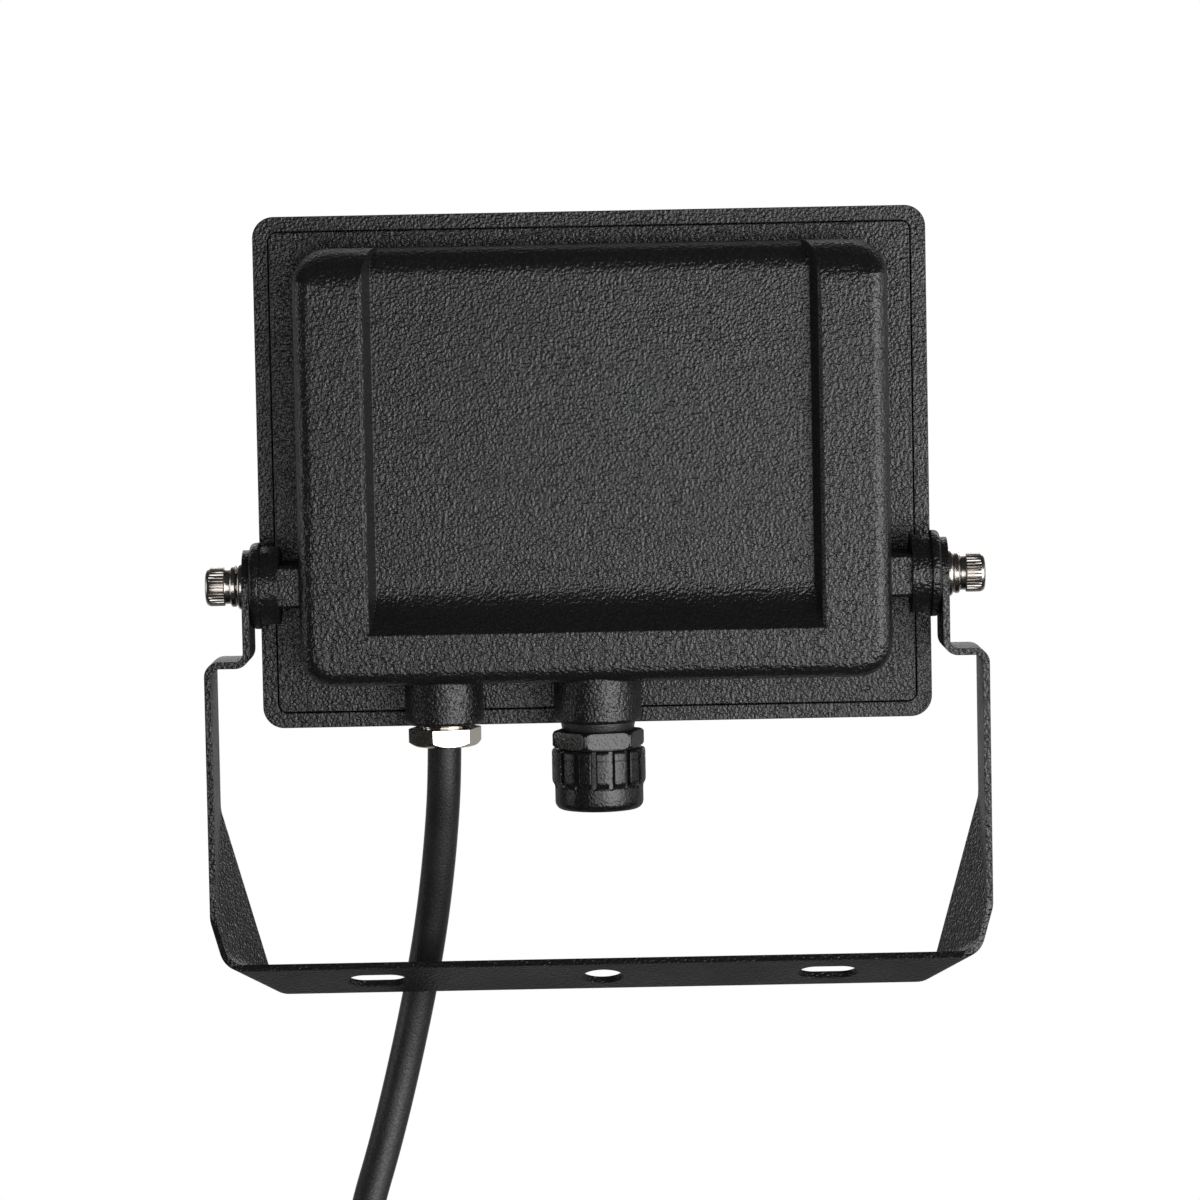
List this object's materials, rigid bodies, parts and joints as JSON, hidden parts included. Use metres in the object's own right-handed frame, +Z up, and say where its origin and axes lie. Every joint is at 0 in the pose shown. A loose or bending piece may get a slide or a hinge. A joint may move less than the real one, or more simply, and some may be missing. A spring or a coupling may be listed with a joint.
{
  "type": "motion sensor floodlight",
  "caption": "Slim floodlight with a cast rear housing, glazed front frame, tilting sheet bracket, supply cord and a capped socket for a motion sensor.",
  "frame": {"origin": "centre of the middle hole of the bracket's base strip, halfway through the strip", "axes": "+Z up through the lamp as pictured, +Y towards the glass, +X to the right seen from behind"},
  "size_m": [0.2004, 0.0516, 0.3897],
  "materials": {
    "bracket_coat": "black satin powder coat on steel sheet",
    "cast_coat": "black fine-grained powder coat on a casting",
    "glass": "clear tempered glass",
    "silicone": "matt black silicone",
    "white_plastic": "white reflecting plastic",
    "board_white": "white lacquered aluminium board",
    "chip_yellow": "yellow phosphor",
    "stainless": "bright stainless steel",
    "black_resin": "black moulding resin",
    "fuse_tan": "tan ceramic",
    "varistor_blue": "blue resin coat",
    "capacitor_can": "dark sleeve on an aluminium can",
    "terminal_plastic": "pale grey plastic",
    "core_brown": "coloured core insulation",
    "lead_red": "coloured lead insulation",
    "nickel": "bright nickel plate on brass",
    "rubber": "matt black rubber",
    "black_plastic": "black satin polyamide",
    "contact_brass": "plated brass",
    "disc_plastic": "black plastic",
    "cord_rubber": "matt black rubber sheath",
    "tie_plastic": "black polyamide",
    "ferrule_tin": "tinned sleeve"
  },
  "bodies": {
    "bracket": {"bracket": "bracket_coat", "cord_coil": "cord_rubber", "cord_tie": "tie_plastic", "cord_cores": "core_brown", "cord_ferrules": "ferrule_tin"},
    "head": {"rear_housing": "cast_coat", "front_frame": "cast_coat", "front_glass": "glass", "glass_gasket": "silicone", "reflector": "white_plastic", "led_board": "board_white", "led_chips": "chip_yellow", "board_screws": "stainless", "bridge_rectifier": "black_resin", "driver_chips": "black_resin", "fuse": "fuse_tan", "varistor": "varistor_blue", "capacitor": "capacitor_can", "terminal_block": "terminal_plastic", "supply_leads": "core_brown", "sensor_leads": "lead_red", "supply_gland": "nickel", "gland_ring": "silicone", "gland_seal": "rubber", "sensor_socket": "black_plastic", "socket_gasket": "rubber", "socket_contacts": "contact_brass", "cap_seal": "rubber", "left_disc": "disc_plastic", "left_flat_washer": "stainless", "left_spring_washer": "stainless", "left_screw": "stainless", "right_disc": "disc_plastic", "right_flat_washer": "stainless", "right_spring_washer": "stainless", "right_screw": "stainless", "supply_cord": "cord_rubber"},
    "cap": {"sensor_cap": "black_plastic"}
  },
  "joints": [
    {"name": "head_tilt", "type": "hinge", "parent": "bracket", "child": "head", "pos_m": [0, 0.00253, 0.10151], "axis": [1, 0, 0], "range_deg": [0, 90], "deforming": ["supply_cord"]},
    {"name": "cap_off", "type": "slide", "parent": "head", "child": "cap", "axis": [0, 0, -1], "range_m": [0, 0.03]}
  ]
}
